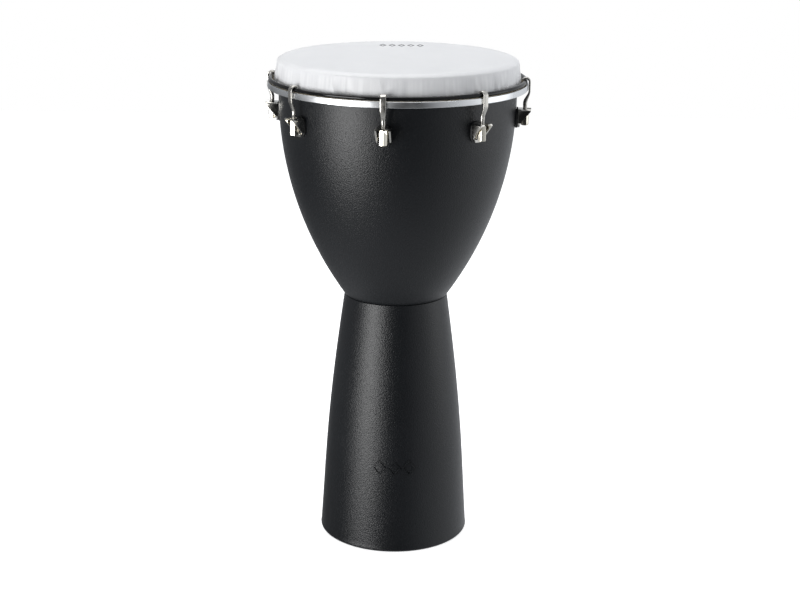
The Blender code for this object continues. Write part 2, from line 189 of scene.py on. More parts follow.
def spun(name, profile, segments=RING_SEGMENTS, closed=True, sharp_degrees=35, shift=None):
    """Turns (radius, height) points about Z. The profile runs down the outer side and up the inner one.

    shift, if given, takes (angles, radii, heights) and returns how far each point moves outwards.
    """
    radii = np.array([p[0] for p in profile])
    heights = np.array([p[1] for p in profile])
    angles = np.arange(segments) * math.tau / segments
    turned = np.repeat(radii[None, :], segments, 0)
    if shift is not None:
        turned = turned + shift(angles[:, None], radii[None, :], heights[None, :])
    x = turned * np.cos(angles)[:, None]
    y = turned * np.sin(angles)[:, None]
    z = np.repeat(heights[None, :], segments, 0)
    vertices = np.stack([x, y, z], -1).reshape(-1, 3)
    rows = len(profile)
    faces = []
    links = rows if closed else rows - 1
    for i in range(segments):
        j = (i + 1) % segments
        for k in range(links):
            m = (k + 1) % rows
            faces.append((i * rows + k, i * rows + m, j * rows + m, j * rows + k))
    mesh = bpy.data.meshes.new(name)
    mesh.from_pydata([tuple(v) for v in vertices], [], faces)
    work = bmesh.new()
    work.from_mesh(mesh)
    bmesh.ops.remove_doubles(work, verts=[v for v in work.verts if v.co.xy.length < 1e-7], dist=1e-6)
    bmesh.ops.dissolve_degenerate(work, dist=1e-8, edges=work.edges)
    bmesh.ops.recalc_face_normals(work, faces=work.faces)
    work.to_mesh(mesh)
    work.free()
    return object_with(name, mesh, sharp_degrees)


def lofted(name, rings, sharp_degrees=35):
    """A closed body through rings of points, capped at both ends."""
    count = len(rings[0])
    vertices = [point for ring in rings for point in ring]
    faces = []
    for i in range(len(rings) - 1):
        for j in range(count):
            k = (j + 1) % count
            faces.append((i * count + j, i * count + k, (i + 1) * count + k, (i + 1) * count + j))
    faces.append(tuple(range(count))[::-1])
    last = (len(rings) - 1) * count
    faces.append(tuple(range(last, last + count)))
    made = object_from(name, vertices, faces, sharp_degrees)
    outward(made.data)
    return made


def swept(name, outline, sweep):
    """A flat outline of points, swept along a vector into a closed body."""
    ring = [Vector(point) for point in outline]
    return lofted(name, [ring, [point + Vector(sweep) for point in ring]])


def applied(piece):
    """Applies the piece's modifiers to its mesh."""
    bpy.context.view_layer.update()
    finished = piece.evaluated_get(bpy.context.evaluated_depsgraph_get())
    mesh = bpy.data.meshes.new_from_object(finished)
    mesh.name = piece.name
    piece.modifiers.clear()
    piece.data = mesh
    return piece


def cut(piece, *cutters):
    for cutter in cutters:
        boolean = piece.modifiers.new("cut", "BOOLEAN")
        boolean.operation = "DIFFERENCE"
        boolean.solver = "EXACT"
        boolean.object = cutter
        applied(piece)
        bpy.data.objects.remove(cutter)
    return piece


def kept_inside(piece, other):
    boolean = piece.modifiers.new("keep", "BOOLEAN")
    boolean.operation = "INTERSECT"
    boolean.solver = "EXACT"
    boolean.object = other
    applied(piece)
    bpy.data.objects.remove(other)
    return piece


def soft_edges(piece, width, segments=2, angle=30):
    bevel = piece.modifiers.new("edges", "BEVEL")
    bevel.width = width
    bevel.segments = segments
    bevel.limit_method = "ANGLE"
    bevel.angle_limit = math.radians(angle)
    bevel.use_clamp_overlap = True
    bevel.harden_normals = False
    applied(piece)
    piece.data.shade_smooth()
    piece.data.set_sharp_from_angle(angle=math.radians(40))
    return piece


def finish(piece, body, slot, material, *nodes):
    piece.data.materials.clear()
    piece.data.materials.append(material)
    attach(piece, body)
    if nodes:
        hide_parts(*nodes)
    return piece


# ---- Materials ----


def feed(tree, socket, value):
    if isinstance(value, bpy.types.NodeSocket):
        tree.links.new(value, socket)
    else:
        socket.default_value = value


def node(tree, kind, inputs=(), **settings):
    made = tree.nodes.new("ShaderNode" + kind)
    for name, value in settings.items():
        setattr(made, name, value)
    for name, value in dict(inputs).items():
        feed(tree, made.inputs[name], value)
    return made


def new_material(name, **constants):
    material = bpy.data.materials.new(name)
    material.use_nodes = True
    shader = material.node_tree.nodes["Principled BSDF"]
    for key, value in constants.items():
        shader.inputs[key.replace("_", " ")].default_value = value
    return material, material.node_tree, shader


def noise(tree, scale, detail=3.0, roughness=0.5, vector=None):
    inputs = {"Scale": scale, "Detail": detail, "Roughness": roughness}
    inputs["Vector"] = vector or node(tree, "TexCoord").outputs["Object"]
    return node(tree, "TexNoise", inputs).outputs["Fac"]


def remap(tree, value, low, high, from_low=0.3, from_high=0.7):
    inputs = {"Value": value, "From Min": from_low, "From Max": from_high, "To Min": low, "To Max": high}
    return node(tree, "MapRange", inputs).outputs["Result"]


def blend_colour(tree, factor, first, second):
    mix = node(tree, "Mix", data_type="RGBA")
    feed(tree, mix.inputs[0], factor)
    feed(tree, mix.inputs[6], (*first, 1.0))
    feed(tree, mix.inputs[7], (*second, 1.0))
    return mix.outputs[2]


def bump(tree, height, distance, strength=1.0, normal=None):
    inputs = {"Height": height, "Distance": distance, "Strength": strength}
    if normal is not None:
        inputs["Normal"] = normal
    return node(tree, "Bump", inputs).outputs["Normal"]


def around_axis(tree, along, across):
    """Coordinates that are stretched along the circumference: (angle, radius, height), scaled."""
    split = node(tree, "SeparateXYZ", {"Vector": node(tree, "TexCoord").outputs["Object"]})
    x, y, z = (split.outputs[k] for k in ("X", "Y", "Z"))
    angle = node(tree, "Math", {0: y, 1: x}, operation="ARCTAN2").outputs[0]
    squares = node(tree, "Math", {0: x, 1: x}, operation="MULTIPLY").outputs[0]
    sum_squares = node(tree, "Math", {0: y, 1: y, 2: squares}, operation="MULTIPLY_ADD").outputs[0]
    radius = node(tree, "Math", {0: sum_squares}, operation="SQRT").outputs[0]
    parts = {
        "X": node(tree, "Math", {0: angle, 1: along}, operation="MULTIPLY").outputs[0],
        "Y": node(tree, "Math", {0: radius, 1: across}, operation="MULTIPLY").outputs[0],
        "Z": node(tree, "Math", {0: z, 1: across}, operation="MULTIPLY").outputs[0],
    }
    return node(tree, "CombineXYZ", parts).outputs["Vector"]


def paint(tree, shader, pattern, dark, light):
    feed(tree, shader.inputs["Base Color"], blend_colour(tree, pattern, dark, light))


def roughen(tree, shader, pattern, smooth, rough):
    feed(tree, shader.inputs["Roughness"], remap(tree, pattern, smooth, rough))


def coat_material():
    """Black textured coat: a fine pebble grain over a slightly uneven satin film."""
    material, tree, shader = new_material("black_coat", Metallic=0.0, Specular_IOR_Level=0.4)
    cloud = noise(tree, 14.0, 2.0)
    grain = noise(tree, 1100.0, 2.0, 0.6)
    pebble = noise(tree, 760.0, 1.0, 0.4)
    pebble_height = 0.00030
    grain_height = 0.00014
    paint(tree, shader, cloud, (0.0042, 0.0050, 0.0062), (0.0066, 0.0076, 0.0092))
    roughen(tree, shader, grain, 0.29, 0.38)
    coarse = bump(tree, pebble, pebble_height)
    feed(tree, shader.inputs["Normal"], bump(tree, grain, grain_height, normal=coarse))
    return material


def film_material():
    """White drumhead film: satin and faintly mottled; on the collar, where it is drawn down, painted upright
    streaks of light and shade stand for the shading of its folds.
    """
    material, tree, shader = new_material("white_film", Metallic=0.0)
    shader.inputs["Subsurface Weight"].default_value = 0.08
    shader.inputs["Subsurface Radius"].default_value = (0.004, 0.004, 0.004)
    shader.inputs["Subsurface Scale"].default_value = 1.0
    mottle = noise(tree, 55.0, 4.0, 0.55)
    # Painted shade and light: upright streaks round the collar that stand for the shading of its folds.
    painted_fold_streaks = noise(tree, 1.0, 2.0, 0.5, around_axis(tree, along=26.0, across=6.0))
    coordinates = node(tree, "TexCoord").outputs["Object"]
    height = node(tree, "SeparateXYZ", {"Vector": coordinates}).outputs["Z"]
    change = 0.005
    on_collar = remap(tree, height, 0.0, 1.0, CREASE_Z, CREASE_Z - change)
    calm = remap(tree, mottle, 0.44, 0.56)
    # Below the crease the painted fold shading replaces the calm mottle of the face.
    pattern = node(tree, "Mix", {0: on_collar, 2: calm, 3: painted_fold_streaks}).outputs[0]
    paint(tree, shader, remap(tree, pattern, 0.0, 1.0), (0.68, 0.685, 0.70), (0.785, 0.79, 0.80))
    roughen(tree, shader, mottle, 0.38, 0.50)
    tooth = noise(tree, 420.0, 3.0)
    feed(tree, shader.inputs["Normal"], bump(tree, tooth, 0.00006, 0.35))
    return material


def aluminium_material():
    """Bright drawn aluminium, its drawing lines running round the hoop."""
    material, tree, shader = new_material("bright_aluminium", Metallic=1.0)
    lines = noise(tree, 1.0, 4.0, 0.6, around_axis(tree, along=5.0, across=5200.0))
    smears = noise(tree, 45.0, 3.0)
    paint(tree, shader, smears, (0.80, 0.82, 0.84), (0.90, 0.91, 0.92))
    roughen(tree, shader, smears, 0.24, 0.34)
    feed(tree, shader.inputs["Normal"], bump(tree, lines, 0.00003, 0.4))
    return material


def enamel_material():
    """Glossy black powder coat on the counterhoop, with a slight orange peel."""
    material, tree, shader = new_material("black_enamel", Metallic=0.0, Specular_IOR_Level=0.3)
    peel = noise(tree, 330.0, 2.0)
    cloud = noise(tree, 60.0)
    paint(tree, shader, cloud, (0.004, 0.004, 0.0045), (0.008, 0.008, 0.0085))
    roughen(tree, shader, peel, 0.08, 0.17)
    feed(tree, shader.inputs["Normal"], bump(tree, peel, 0.00006, 0.35))
    return material


def nickel_material(name, dark, light, smooth, rough):
    """Plated steel with faint clouding and fine handling scratches."""
    material, tree, shader = new_material(name, Metallic=1.0)
    cloud = noise(tree, 160.0, 4.0, 0.6)
    coordinates = node(tree, "TexCoord").outputs["Object"]
    upright_stretch = (1.0, 1.0, 0.12)
    stretched = node(tree, "Mapping", {"Vector": coordinates, "Scale": upright_stretch})
    scratches = noise(tree, 2600.0, 3.0, 0.7, stretched.outputs["Vector"])
    paint(tree, shader, cloud, dark, light)
    roughen(tree, shader, cloud, smooth, rough)
    feed(tree, shader.inputs["Normal"], bump(tree, scratches, 0.00002, 0.25))
    return material


def rubber_material():
    """Matt black rubber of the pads."""
    material, tree, shader = new_material("black_rubber", Metallic=0.0)
    speckle = noise(tree, 700.0, 3.0)
    paint(tree, shader, speckle, (0.010, 0.010, 0.010), (0.022, 0.022, 0.023))
    roughen(tree, shader, speckle, 0.55, 0.75)
    feed(tree, shader.inputs["Normal"], bump(tree, speckle, 0.00008, 0.5))
    return material


def resin_material():
    """Hard amber resin that was poured into the hoop."""
    material, tree, shader = new_material("amber_resin", Metallic=0.0)
    swirl = noise(tree, 90.0, 4.0)
    paint(tree, shader, swirl, (0.34, 0.27, 0.15), (0.55, 0.47, 0.31))
    roughen(tree, shader, swirl, 0.25, 0.45)
    feed(tree, shader.inputs["Normal"], bump(tree, swirl, 0.0002, 0.4))
    return material


def ink_material():
    """Dark print on the film, slightly worn."""
    material, tree, shader = new_material("grey_ink", Metallic=0.0)
    wear = noise(tree, 900.0, 3.0)
    paint(tree, shader, wear, (0.030, 0.030, 0.036), (0.060, 0.060, 0.070))
    roughen(tree, shader, wear, 0.45, 0.6)
    return material


def floor_material():
    """The pale floor. It glows a little, so that it meets the white behind it without an edge."""
    material, tree, shader = new_material("pale_floor", Metallic=0.0)
    shader.inputs["Emission Color"].default_value = (1.0, 1.0, 1.0, 1.0)
    shader.inputs["Emission Strength"].default_value = 0.7
    grain = noise(tree, 6.0, 3.0)
    paint(tree, shader, grain, (0.90, 0.90, 0.90), (0.92, 0.92, 0.92))
    roughen(tree, shader, grain, 0.75, 0.85)
    return material


# ---- Shell ----


def bezier(points, t):
    weights = ((1 - t) ** 3, 3 * t * (1 - t) ** 2, 3 * t * t * (1 - t), t**3)
    return tuple(sum(w * p[i] for w, p in zip(weights, points)) for i in (0, 1))


def bowl_wall(inset, low_z, steps):
    """The bowl's wall from its widest height down to low_z, set in by inset."""
    across, up = BOWL_ELLIPSE_ACROSS - inset, BOWL_ELLIPSE_UP - inset
    centre = BOWL_RADIUS - BOWL_ELLIPSE_ACROSS
    end = math.asin((BOWL_WIDEST_Z - low_z) / up)
    angles = [end * i / steps for i in range(steps + 1)]
    return [(centre + across * math.cos(a), BOWL_WIDEST_Z - up * math.sin(a)) for a in angles]


def bore_height():
    """The height at which the bowl's inner wall has narrowed to the spigot's bore."""
    across, up = BOWL_ELLIPSE_ACROSS - WALL, BOWL_ELLIPSE_UP - WALL
    cosine = (SPIGOT_BORE - BOWL_RADIUS + BOWL_ELLIPSE_ACROSS) / across
    return BOWL_WIDEST_Z - up * math.sin(math.acos(cosine))


def make_bowl(coat):
    seam = FOOT_TOP + GAP
    chamfer = SHELL_CHAMFER
    edge = arc((BOWL_RADIUS - WALL, BOWL_TOP - WALL), WALL, 90, 0, 14)
    wall = bowl_wall(0, seam + chamfer, 60)
    spigot = [
        (wall[-1][0] - 1.6 * chamfer, seam),
        (SPIGOT_RADIUS, seam),
        (SPIGOT_RADIUS, NECK_FLOOR + chamfer),
        (SPIGOT_RADIUS - chamfer, NECK_FLOOR),
        (SPIGOT_BORE, NECK_FLOOR),
    ]
    inside = bowl_wall(WALL, bore_height(), 40)[::-1]
    bowl = spun("bowl", edge + wall + spigot + inside)
    near, far = BOWL_RADIUS - 5 * WALL, BOWL_RADIUS + WALL
    for index in range(len(ROD_AXES)):
        hole = radial_rod("hole", SCREW_HOLE_RADIUS, near - ROD_OFFSET, far - ROD_OFFSET, SCREW_Z)
        hole.data.transform(point_frame(index))
        cut(bowl, hole)
    bowl.data.shade_smooth()
    bowl.data.set_sharp_from_angle(angle=math.radians(35))
    return finish(bowl, "drum", "shell", coat, "bowl_shell")


def foot_radius(height):
    """The foot's outer radius at a height, found by halving along its curve."""
    low, high = 0.0, 1.0
    for _ in range(30):
        middle = (low + high) / 2
        if bezier(FOOT_CURVE, middle)[1] < height:
            low = middle
        else:
            high = middle
    return bezier(FOOT_CURVE, low)[0]


def make_foot(coat):
    chamfer = SHELL_CHAMFER
    base_radius = FOOT_CURVE[0][0]
    socket_radius = SPIGOT_RADIUS + GAP
    socket_end = NECK_FLOOR - 4 * GAP
    steps = 60
    wall_top = FOOT_TOP - 4 * chamfer
    curve = [bezier(FOOT_CURVE, 1 - i / steps) for i in range(1, steps)]
    wall = [(foot_radius(wall_top), wall_top)] + [p for p in curve if p[1] < wall_top]
    top = [
        (foot_radius(FOOT_TOP) - chamfer, FOOT_TOP),
        (foot_radius(FOOT_TOP - chamfer), FOOT_TOP - chamfer),
    ]
    corner = arc((base_radius - FOOT_CORNER, FOOT_CORNER), FOOT_CORNER, 0, -90, 10)
    above_corner = [p for p in wall if p[1] > FOOT_CORNER + chamfer]
    inside = [(radius - WALL, height) for radius, height in above_corner if height < socket_end]
    floor_edge = [(base_radius - WALL + chamfer, 0.0), (base_radius - WALL, chamfer)]
    socket = [
        (inside[0][0], socket_end),
        (socket_radius, socket_end),
        (socket_radius, FOOT_TOP - chamfer / 2),
        (socket_radius + chamfer / 2, FOOT_TOP),
    ]
    foot = spun("foot", top + above_corner + corner + floor_edge + inside[::-1] + socket)
    return finish(foot, "drum", "shell", coat, "foot_shell")


# ---- Drumhead and hoops ----


def collar_wrinkles():
    """Soft upright folds in the collar. Each deepens downwards to the hoop, and some start at the crease.

    Those that start there also move points of the flat face along it, by under a millimetre.
    """
    dice = random.Random(12)
    fold_count = 180
    widths = (0.014, 0.020, 0.030, 0.046)
    deepest, highest = -0.00150, 0.00110
    folds = []
    for _ in range(fold_count):
        place = dice.uniform(0, math.tau)
        width = dice.choice(widths) * dice.uniform(0.8, 1.2)
        amount = dice.uniform(deepest, highest)
        slant = dice.uniform(-0.06, 0.06)
        start = dice.uniform(-0.4, 0.3)
        folds.append((place, width, amount, slant, start))
    drop = CREASE_Z - HOOP_HIGH
    outer_only = CREASE_RADIUS - 0.004
    tuck_start, tuck_height = HOOP_HIGH - 0.001, 0.003

    def shift(angles, radii, heights):
        depth = np.clip((CREASE_Z - heights) / drop, 0, 1) * (radii > outer_only)
        total = np.zeros(np.broadcast(angles, heights).shape)
        for place, width, amount, slant, start in folds:
            away = (angles - place - slant * depth + math.pi) % math.tau - math.pi
            reach = np.clip((depth - start) / (1 - start), 0, 1)
            total += amount * np.exp(-((away / width) ** 2)) * reach
        return total * np.clip((heights - tuck_start) / tuck_height, 0, 1)

    return shift


def make_film(film):
    bend, drop = CREASE_RADIUS - FACE_RADIUS, FACE_Z - CREASE_Z
    bend_steps = 10
    edge = []
    for i in range(bend_steps):
        t = i / bend_steps
        edge.append((FACE_RADIUS + bend * t, FACE_Z - drop * t * t))
    crease = [
        (CREASE_RADIUS - 0.0006, CREASE_Z + 0.0004),
        (CREASE_RADIUS, CREASE_Z - 0.0002),
        (CREASE_RADIUS + 0.00025, CREASE_Z - 0.0011),
    ]
    start_radius, start_z = crease[-1]
    rows = 16
    collar = []
    for i in range(1, rows + 1):
        radius = start_radius + (COLLAR_RADIUS - start_radius) * i / rows
        collar.append((radius, start_z + (COLLAR_END_Z - start_z) * i / rows))
    face = [(radius, FACE_Z) for radius in (0.0, 0.02, 0.06, 0.10, 0.125)]
    inner = [(r, z - FILM) for r, z in edge]
    inner += [(r - FILM, z - FILM / 2) for r, z in crease]
    inner += [(r - FILM, z) for r, z in collar]
    underside = [(r, z - FILM) for r, z in face]
    profile = face + edge + crease + collar + inner[::-1] + underside[::-1]
    wrinkles = collar_wrinkles()
    head = spun("head", profile, segments=720, closed=False, sharp_degrees=50, shift=wrinkles)
    return finish(head, "drum", "head_film", film, "drumhead_film")


def make_hoop(aluminium):
    """A drawn channel whose flat outer face has softly rounded edges. Trough corners carry a radius."""
    top_edge, low_edge = 0.0008, 0.0006
    top = arc((HOOP_RADIUS - top_edge, HOOP_HIGH - top_edge), top_edge, 115, 0, 9)
    low = arc((HOOP_RADIUS - low_edge, HOOP_LOW + low_edge), low_edge, 0, -90, 7)
    floor_z = HOOP_LOW + HOOP_WALL
    inner_top = HOOP_HIGH - HOOP_WALL
    trough = filleted(
        [
            (HOOP_INNER_RADIUS, HOOP_LOW, 0.0006),
            (HOOP_INNER_RADIUS, inner_top, 0.0005),
            (HOOP_INNER_RADIUS + HOOP_WALL, inner_top, 0.0005),
            (HOOP_INNER_RADIUS + HOOP_WALL, floor_z, 0.0004),
            (HOOP_TROUGH_RADIUS, floor_z, 0.0004),
            (HOOP_TROUGH_RADIUS, HOOP_HIGH - 0.0006, 0.0003),
        ],
        radius=0.0004,
        steps=3,
    )
    hoop = spun("hoop", top + low + trough)
    return finish(hoop, "drum", "hoop_metal", aluminium, "flesh_hoop")


def make_resin(resin):
    """The resin bead, its top slightly hollow where it met the film and the channel."""
    inner = COLLAR_RADIUS + 2 * GAP
    outer = HOOP_TROUGH_RADIUS - GAP
    low, high = HOOP_LOW + HOOP_WALL + GAP, HOOP_HIGH - 2 * GAP
    sag = 0.0005
    steps = 8
    top = []
    for i in range(steps + 1):
        t = i / steps
        top.append((inner + (outer - inner) * t, high - sag * math.sin(math.pi * t)))
    bead = spun("resin_bead", top + [(outer, low), (inner, low)])
    return finish(bead, "drum", "resin", resin, "hoop_resin")


def make_ring(enamel):
    radius = (RING_HIGH - RING_LOW) / 2
    centre = (RING_RADIUS, RING_LOW + radius)
    sides = 24
    section = arc(centre, radius, 90, -270 + 360 / sides, sides - 1)
    ring = spun("counter_ring", section, sharp_degrees=60)
    return finish(ring, "drum", "ring_coat", enamel, "counterhoop")


# ---- Tuning points ----


def point_frame(index):
    """Carries a tuning point's frame to its place round the drum."""
    axis = ROD_AXES[index]
    turn = math.atan2(axis.x, -axis.y) + math.pi
    return Matrix.Translation((axis.x, axis.y, 0)) @ Matrix.Rotation(turn, 4, "Z")


def radial_rod(name, radius, near, far, height, sides=32):
    """A rod along Y from near to far, at a height."""
    ring = [(x, near, height + z) for x, z in circle(radius, sides)]
    return swept(name, ring, (0, far - near, 0))


def ease(t):
    return t * t * (3 - 2 * t)


def hook_path():
    """(y, z, heading, roundness, size) down the hook: arc over the ring, strap, inward bend to the rod."""
    tip_turn = math.radians(150)
    arc_steps, strap_steps, bend_steps = 18, 5, 16
    tip_steps, smallest_tip = 2.5, 0.45
    for i in range(arc_steps + 1):
        angle = tip_turn * (1 - i / arc_steps)
        rounding = math.sqrt(1 - (1 - min(i / tip_steps, 1.0)) ** 2)
        y = HOOK_ARC_RADIUS * math.cos(angle)
        z = HOOK_ARC_Z + HOOK_ARC_RADIUS * math.sin(angle)
        yield y, z, angle - math.pi / 2, 0.0, max(rounding, smallest_tip)
    for i in range(1, strap_steps):
        z = HOOK_ARC_Z + (HOOK_BEND_TOP - HOOK_ARC_Z) * i / strap_steps
        yield HOOK_ARC_RADIUS, z, -math.pi / 2, 0.0, 1.0
    drop = HOOK_BEND_TOP - HOOK_BEND_END
    for i in range(bend_steps + 1):
        t = i / bend_steps
        heading = math.atan2(-drop, -HOOK_ARC_RADIUS * 6 * t * (1 - t))
        yield HOOK_ARC_RADIUS * (1 - ease(t)), HOOK_BEND_TOP - drop * t, heading, ease(t), 1.0


def hook_section(y, z, heading, roundness, size, points=24):
    """One ring of the hook: a flat strap with rounded edges that turns into a circle."""
    strap_power = 0.42
    power = strap_power + (1 - strap_power) * roundness
    wide = (HOOK_HALF_WIDTH + (ROD_RADIUS - HOOK_HALF_WIDTH) * roundness) * size
    thick = (HOOK_HALF_THICKNESS + (ROD_RADIUS - HOOK_HALF_THICKNESS) * roundness) * size
    normal = Vector((0, -math.sin(heading), math.cos(heading)))
    ring = []
    for i in range(points):
        a = i * math.tau / points
        c, s = math.cos(a), math.sin(a)
        x = wide * math.copysign(abs(c) ** power, c)
        t = thick * math.copysign(abs(s) ** power, s)
        ring.append(Vector((x, y, z)) + normal * t)
    return ring


def thread_rings(points=24, steps_per_turn=6):
    """Rings down the rod with a rounded helical thread that runs out at its upper end."""
    run_out = 2 * THREAD_PITCH
    taper, smallest_end = 1.2 * THREAD_PITCH, 0.55
    rings = []
    count = int((THREAD_TOP - ROD_END_Z) / THREAD_PITCH * steps_per_turn)
    for k in range(count + 1):
        z = THREAD_TOP - (THREAD_TOP - ROD_END_Z) * k / count
        fade = min((THREAD_TOP - z) / run_out, 1.0)
        end_taper = min((z - ROD_END_Z) / taper + smallest_end, 1.0)
        ring = []
        for i in range(points):
            a = i * math.tau / points
            phase = (z / THREAD_PITCH - a / math.tau) % 1.0
            groove = abs(2 * phase - 1)
            radius = (ROD_RADIUS - THREAD_DEPTH * fade * (1 - groove)) * end_taper
            ring.append(Vector((radius * math.cos(a), radius * math.sin(a), z)))
        rings.append(ring)
    return rings


def hook_mesh():
    rings = [hook_section(*station) for station in hook_path()]
    last = rings[-1]
    thread = thread_rings()
    first = thread[0]
    count = len(first)

    def distance(index, point):
        return (first[index % count].xy - point.xy).length

    # The thread's points are taken in the order of the bend's, so that the skin between them isn't twisted.
    start = min(range(count), key=lambda index: distance(index, last[0]))
    step = 1 if distance(start + 1, last[1]) < distance(start - 1, last[1]) else -1
    matched = [[ring[(start + step * i) % count] for i in range(count)] for ring in thread]
    hook = lofted("hook", rings + matched, 60)
    mesh = hook.data
    bpy.data.objects.remove(hook)
    return mesh


def nut_mesh():
    """A long hexagon nut, its ends chamfered by a cone, with a smooth bore that widens at its mouths."""
    corner = NUT_ACROSS_FLATS / 2 / math.cos(math.pi / 6)
    corners = [(y, x) for x, y in circle(corner, 6)]
    outline = [(x, y, NUT_LOW) for x, y in filleted(corners, 0.00035, 3)]
    nut = swept("nut", outline, (0, 0, NUT_HIGH - NUT_LOW))
    face = NUT_ACROSS_FLATS / 2 - 0.0001
    slope = 0.0009
    past_corner = corner + 0.0006
    barrel = spun(
        "barrel",
        [
            (0, NUT_HIGH),
            (face, NUT_HIGH),
            (past_corner, NUT_HIGH - slope),
            (past_corner, NUT_LOW + slope),
            (face, NUT_LOW),
            (0, NUT_LOW),
        ],
        segments=72,
        closed=False,
    )
    kept_inside(nut, barrel)
    bore_radius = ROD_RADIUS + GAP
    mouth, past = 0.0006, 0.001
    mouth_radius = bore_radius + mouth + past
    bore = spun(
        "bore",
        [
            (0, NUT_HIGH + past),
            (mouth_radius, NUT_HIGH + past),
            (bore_radius, NUT_HIGH - mouth),
            (bore_radius, NUT_LOW + mouth),
            (mouth_radius, NUT_LOW - past),
            (0, NUT_LOW - past),
        ],
        segments=40,
        closed=False,
    )
    cut(nut, bore)
    soft_edges(nut, 0.00012, segments=2, angle=25)
    mesh = nut.data
    bpy.data.objects.remove(nut)
    return mesh


def mirrored(half_outline):
    """The half outline and its mirror image across x = 0. A corner's radius stays with it."""
    return half_outline + [(-x, *rest) for x, *rest in reversed(half_outline)]


def bracket_mesh():
    """Bent sheet with rounded bends: slotted top plate, two cheeks, back plate and screw tab."""
    inner_back = BRACKET_BACK + SHEET
    past = 0.002
    top_half, foot_half, tab_half = 0.0092, 0.0088, 0.0060
    outer = filleted(
        mirrored(
            [
                (top_half, PLATE_TOP, 0.0026),
                (foot_half, CHEEK_END, 0.0020),
                (tab_half, CHEEK_END - 0.0012, 0.0016),
                (tab_half - 0.0006, TAB_END, 0.0034),
            ]
        ),
        radius=0.002,
        steps=6,
    )
    depth = BRACKET_FRONT - BRACKET_BACK
    bracket = swept("bracket", [(x, BRACKET_BACK, z) for x, z in outer], (0, depth, 0))
    inner = filleted(
        mirrored(
            [
                (top_half - SHEET, PLATE_TOP - SHEET, 0.0010),
                (foot_half - SHEET, TAB_END - past, 0.0),
            ]
        ),
        radius=0.001,
        steps=5,
    )
    hollow_depth = BRACKET_FRONT - inner_back + past
    hollow = swept("hollow", [(x, inner_back, z) for x, z in inner], (0, hollow_depth, 0))
    lip = PLATE_TOP - SHEET - 2 * GAP
    side = [
        (BRACKET_FRONT + past, lip),
        (BRACKET_FRONT, lip),
        (inner_back, CHEEK_END),
        (inner_back, TAB_END - past),
        (BRACKET_FRONT + past, TAB_END - past),
    ]
    aside = 0.02
    wedge = swept("wedge", [(-aside, y, z) for y, z in side], (2 * aside, 0, 0))
    slot_half = 0.0029
    slot = arc((0, 0), slot_half, 180, 360, 16)
    slot += [(slot_half, BRACKET_FRONT + past), (-slot_half, BRACKET_FRONT + past)]
    slot_low = PLATE_TOP - SHEET - past
    slot_body = swept("slot", [(x, y, slot_low) for x, y in slot], (0, 0, SHEET + 2 * past))
    hole = radial_rod("hole", SCREW_HOLE_RADIUS, BRACKET_BACK - past, inner_back + past, SCREW_Z)
    sink_radius, sink_depth = 0.0036, 0.0019
    sink = radial_rod("sink", sink_radius, inner_back - sink_depth, inner_back + past, SCREW_Z)
    cut(bracket, hollow, wedge, slot_body, hole, sink)
    soft_edges(bracket, 0.00032, segments=3, angle=32)
    mesh = bracket.data
    bpy.data.objects.remove(bracket)
    return mesh


def pad_mesh():
    """The oval pad, its back following the bowl's wall. side is 1 for its front and -1 for its back."""
    half_width = 0.0089
    front = BRACKET_BACK - GAP
    rows = 10
    columns = 40
    outline = arc((0, PAD_HIGH - half_width), half_width, 0, 180, columns // 2)
    outline += arc((0, PAD_LOW + half_width), half_width, 180, 360, columns // 2)
    centre = Vector((0, (PAD_LOW + PAD_HIGH) / 2))

    def bowl_y(x, z):
        depth = (BOWL_WIDEST_Z - z) / BOWL_ELLIPSE_UP
        radius = BOWL_RADIUS - BOWL_ELLIPSE_ACROSS + BOWL_ELLIPSE_ACROSS * math.sqrt(1 - depth * depth)
        return math.sqrt((radius + GAP) ** 2 - x * x) - ROD_OFFSET

    def ring(share, side, inset=0.0):
        made = []
        for x, z in outline:
            flat = centre + (Vector((x, z)) - centre) * share
            y = front - inset if side > 0 else bowl_y(flat.x, flat.y) + inset
            made.append(Vector((flat.x, y, flat.y)))
        return made

    lip = 0.0008
    shares = [0.02 + 0.9 * i / rows for i in range(rows + 1)]
    rings = [ring(share, 1) for share in shares]
    rings += [ring(0.96, 1, 0.15 * lip), ring(0.99, 1, 0.5 * lip), ring(1.0, 1, lip)]
    rings += [ring(1.0, -1, 0.3 * lip), ring(0.985, -1)]
    rings += [ring(share, -1) for share in reversed(shares)]
    pad = lofted("pad", rings, 60)
    inside_bowl = BOWL_RADIUS - ROD_OFFSET - 0.02
    hole = radial_rod("hole", SCREW_HOLE_RADIUS, inside_bowl, 0.0, SCREW_Z)
    cut(pad, hole)
    pad.data.shade_smooth()
    pad.data.set_sharp_from_angle(angle=math.radians(45))
    mesh = pad.data
    bpy.data.objects.remove(pad)
    return mesh


def screw_mesh():
    """The flush countersunk screw, with a hexagon socket in its head."""
    tip = SCREW_TIP_FROM_AXIS - ROD_OFFSET
    length = BRACKET_BACK + SHEET - tip
    head_radius, head_rim, head_depth = 0.0033, 0.0002, 0.0016
    shank_radius, point = 0.0019, 0.0004
    profile = [
        (0, length),
        (head_radius - 0.0003, length),
        (head_radius, length - head_rim),
        (shank_radius, length - head_depth),
        (shank_radius, point),
        (shank_radius - point, 0),
        (0, 0),
    ]
    screw = spun("screw", profile, segments=40, closed=False, sharp_degrees=30)
    socket_radius, socket_depth = 0.0013, 0.0013
    socket = [(x, y, length - socket_depth) for x, y in circle(socket_radius, 6)]
    cut(screw, swept("socket", socket, (0, 0, 0.002)))
    lie_down = Matrix.Rotation(-math.pi / 2, 4, "X")
    screw.data.transform(Matrix.Translation((0, tip, SCREW_Z)) @ lie_down)
    screw.data.shade_smooth()
    screw.data.set_sharp_from_angle(angle=math.radians(30))
    mesh = screw.data
    bpy.data.objects.remove(screw)
    return mesh


